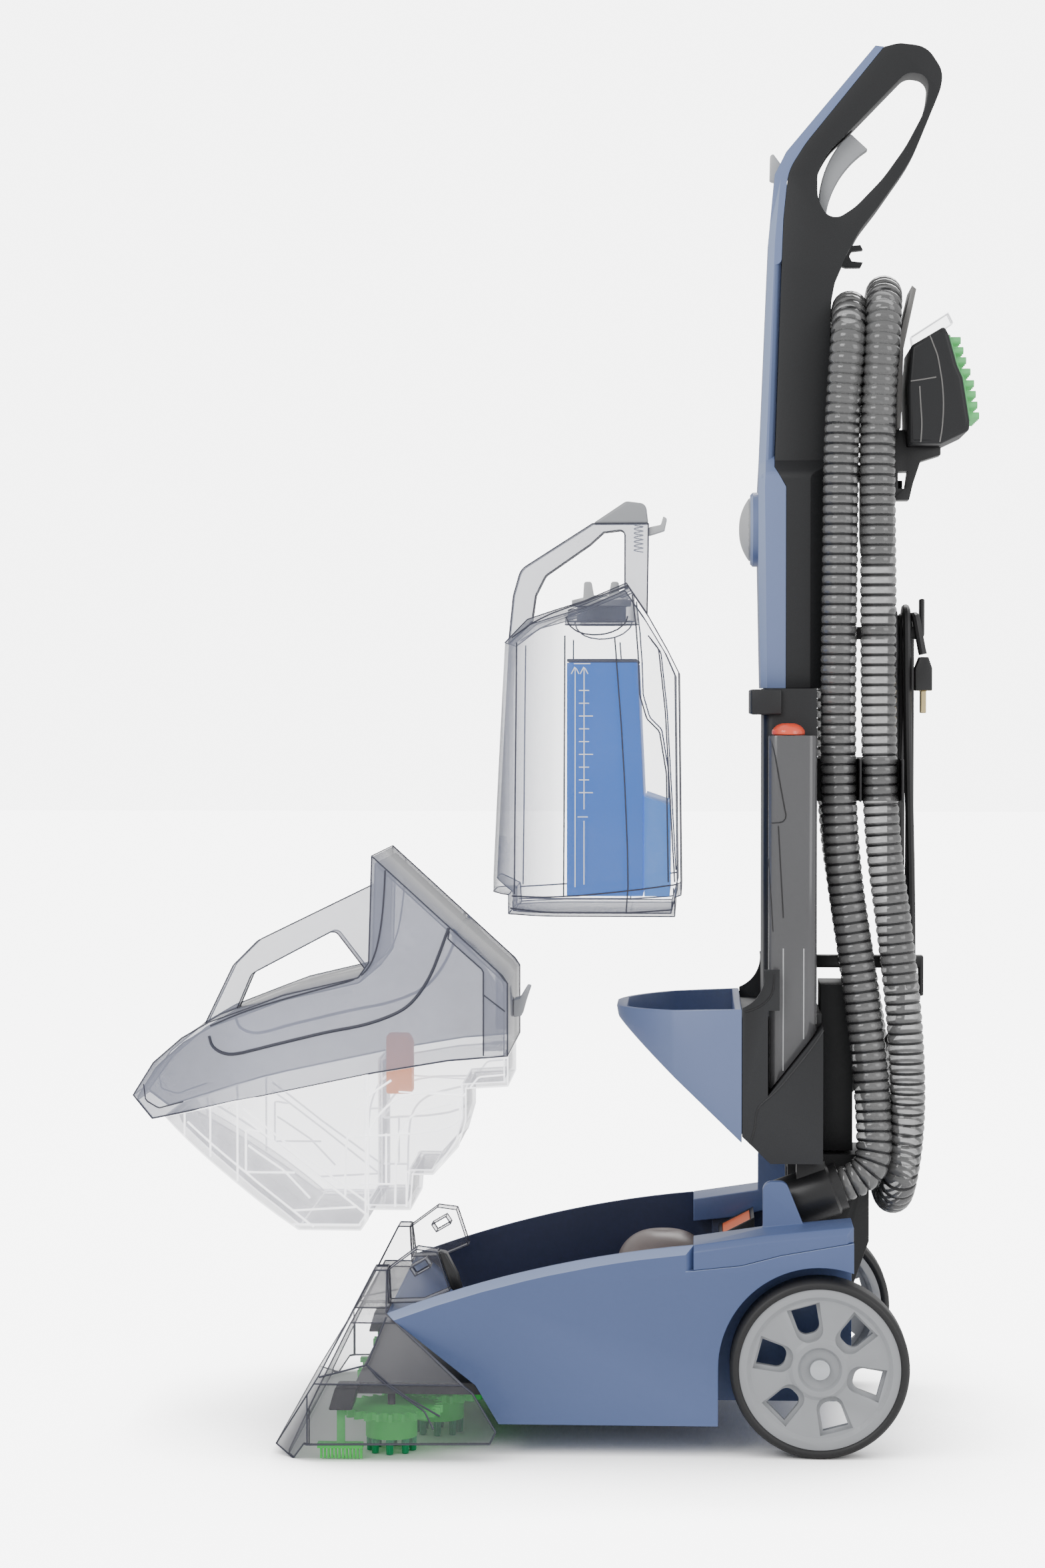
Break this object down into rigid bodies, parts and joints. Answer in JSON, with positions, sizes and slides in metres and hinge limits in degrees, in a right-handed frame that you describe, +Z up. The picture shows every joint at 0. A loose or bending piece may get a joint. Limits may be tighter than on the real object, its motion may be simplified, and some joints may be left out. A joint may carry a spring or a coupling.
{
  "type": "carpet cleaner machine",
  "caption": "Upright carpet washer with wheeled base, clear brush nozzle, leaning handle, wound hose and cord, stair tool, and two clear tanks that slide down onto their seats",
  "frame": {"origin": "on the floor, below the middle of the machine and its two lifted tanks", "axes": "+Z up, -X towards the nozzle at the front, +X towards the back, Y across the machine"},
  "size_m": [0.6788, 0.36, 1.1067],
  "materials": {
    "blue_plastic": "moulded, fine grain",
    "charcoal_plastic": "moulded, fine grain",
    "black_plastic": "moulded",
    "grey_plastic": "moulded, satin",
    "light_grey_plastic": "moulded, satin",
    "tyre_rubber": "moulded rubber",
    "steel": "drawn bar",
    "motor_metal": "plain",
    "dome_plastic": "moulded, satin",
    "smoky_clear": "clear smoky plastic",
    "clear_plastic": "clear plastic",
    "hose_plastic": "clear ribbed hose",
    "green_bristle": "nylon tufts",
    "orange": "moulded",
    "red_cap": "moulded, gloss",
    "cord_vinyl": "vinyl jacket"
  },
  "bodies": {
    "base": {"base_shell": "blue_plastic", "shoulder_covers": "blue_plastic", "motor_cover": "dome_plastic", "suction_motor": "motor_metal", "filter_box": "black_plastic", "filter_screen": "orange", "pump": "black_plastic", "axle": "steel", "axle_caps": "grey_plastic", "nozzle_hood": "smoky_clear", "latch_towers": "black_plastic", "spray_nozzles": "black_plastic", "edge_combs": "green_bristle", "brush_deck": "black_plastic"},
    "wheel_right": {"hub_right": "grey_plastic", "tyre_right": "tyre_rubber"},
    "wheel_left": {"hub_left": "grey_plastic", "tyre_left": "tyre_rubber"},
    "fan": {"impeller": "light_grey_plastic"},
    "latch_lever": {"nozzle_latch": "black_plastic"},
    "brush_1": {"brush_1": "green_bristle"},
    "brush_2": {"brush_2": "green_bristle"},
    "brush_3": {"brush_3": "green_bristle"},
    "brush_4": {"brush_4": "green_bristle"},
    "brush_5": {"brush_5": "green_bristle"},
    "upright": {"pivot_yoke": "charcoal_plastic", "column": "charcoal_plastic", "rear_housing": "charcoal_plastic", "tray": "blue_plastic", "latch_collar": "charcoal_plastic", "side_duct": "smoky_clear", "duct_cap": "red_cap", "hose_port": "black_plastic", "hose_clips": "black_plastic", "cord_hooks": "black_plastic", "handle_trim": "blue_plastic", "handle_shell": "charcoal_plastic", "hose_guard": "black_plastic", "tool_holder": "black_plastic", "hose_connector": "black_plastic", "hose": "hose_plastic", "power_cord": "cord_vinyl", "cord_hank": "cord_vinyl", "mains_plug": "black_plastic"},
    "dial": {"mode_dial": "grey_plastic"},
    "trigger": {"trigger": "grey_plastic"},
    "thumb_lever": {"thumb_lever": "light_grey_plastic"},
    "stair_tool": {"tool_body": "charcoal_plastic", "tool_window": "clear_plastic", "tool_bristles": "green_bristle"},
    "clean_tank": {"clean_tank": "clear_plastic", "clean_handle": "clear_plastic", "clean_grip": "grey_plastic"},
    "clean_cap": {"tank_cap": "grey_plastic"},
    "clean_hook": {"tank_hook": "light_grey_plastic"},
    "recovery_tank": {"recovery_lid": "smoky_clear", "recovery_tub": "clear_plastic", "recovery_handle": "smoky_clear"},
    "float": {"recovery_float": "orange"},
    "wing_latch": {"recovery_latch": "light_grey_plastic"}
  },
  "joints": [
    {"name": "wheel_right_spin", "type": "hinge", "parent": "base", "child": "wheel_right", "pos_m": [0.2106, -0.138, 0.069], "axis": [0, 1, 0], "continuous": true},
    {"name": "wheel_left_spin", "type": "hinge", "parent": "base", "child": "wheel_left", "pos_m": [0.2106, 0.138, 0.069], "axis": [0, 1, 0], "continuous": true},
    {"name": "fan_spin", "type": "hinge", "parent": "base", "child": "fan", "pos_m": [0.0887, 0.082, 0.09], "axis": [0, 0, 1], "continuous": true},
    {"name": "latch_lever_swing", "type": "hinge", "parent": "base", "child": "latch_lever", "pos_m": [-0.0854, -0.1105, 0.151], "axis": [0, -1, 0], "range_deg": [0, 35]},
    {"name": "recline", "type": "hinge", "parent": "base", "child": "upright", "pos_m": [0.2106, 0, 0.069], "axis": [0, 1, 0], "range_deg": [0, 50]},
    {"name": "dial_turn", "type": "hinge", "parent": "upright", "child": "dial", "pos_m": [0.1606, 0, 0.72], "axis": [1, 0, 0], "range_deg": [-60, 60]},
    {"name": "trigger_pull", "type": "hinge", "parent": "upright", "child": "trigger", "pos_m": [0.2166, 0, 0.971], "axis": [0, -1, 0], "range_deg": [0, 8], "stiffness_Nm_per_rad": 0.5},
    {"name": "thumb_lever_press", "type": "hinge", "parent": "upright", "child": "thumb_lever", "pos_m": [0.1891, 0, 1.0055], "axis": [0, -1, 0], "range_deg": [0, 8], "stiffness_Nm_per_rad": 0.3},
    {"name": "tool_lift", "type": "slide", "parent": "upright", "child": "stair_tool", "axis": [0.5, 0, 0.866], "range_m": [0, 0.06]},
    {"name": "clean_tank_seat", "type": "slide", "parent": "upright", "child": "clean_tank", "axis": [-0.6508, 0, 0.7593], "range_m": [-0.0921, 0]},
    {"name": "clean_cap_turn", "type": "hinge", "parent": "clean_tank", "child": "clean_cap", "pos_m": [0.0386, 0, 0.66], "axis": [0, 0, 1], "range_deg": [0, 120]},
    {"name": "clean_hook_press", "type": "hinge", "parent": "clean_tank", "child": "clean_hook", "pos_m": [0.0776, 0, 0.7165], "axis": [0, 1, 0], "range_deg": [0, 12], "stiffness_Nm_per_rad": 0.2},
    {"name": "recovery_tank_seat", "type": "slide", "parent": "base", "child": "recovery_tank", "axis": [-0.8172, 0, 0.5763], "range_m": [-0.2324, 0]},
    {"name": "float_rise", "type": "slide", "parent": "recovery_tank", "child": "float", "axis": [0, 0, 1], "range_m": [0, 0.06]},
    {"name": "wing_latch_swing", "type": "hinge", "parent": "recovery_tank", "child": "wing_latch", "pos_m": [-0.0304, 0, 0.327], "axis": [0, 1, 0], "range_deg": [0, 35]},
    {"name": "brush_1_spin", "type": "hinge", "parent": "base", "child": "brush_1", "pos_m": [-0.1204, -0.136, 0.04], "axis": [0, 0, 1], "continuous": true},
    {"name": "brush_2_spin", "type": "hinge", "parent": "base", "child": "brush_2", "pos_m": [-0.08876, -0.068, 0.04], "axis": [0, 0, 1], "continuous": true},
    {"name": "brush_3_spin", "type": "hinge", "parent": "base", "child": "brush_3", "pos_m": [-0.1204, 0, 0.04], "axis": [0, 0, 1], "continuous": true},
    {"name": "brush_4_spin", "type": "hinge", "parent": "base", "child": "brush_4", "pos_m": [-0.08876, 0.068, 0.04], "axis": [0, 0, 1], "continuous": true},
    {"name": "brush_5_spin", "type": "hinge", "parent": "base", "child": "brush_5", "pos_m": [-0.1204, 0.136, 0.04], "axis": [0, 0, 1], "continuous": true}
  ],
  "couplings": [
    {"joint": "brush_2_spin", "follows": "brush_3_spin", "ratio": -1},
    {"joint": "brush_4_spin", "follows": "brush_3_spin", "ratio": -1},
    {"joint": "brush_1_spin", "follows": "brush_3_spin", "ratio": 1},
    {"joint": "brush_5_spin", "follows": "brush_3_spin", "ratio": 1}
  ]
}
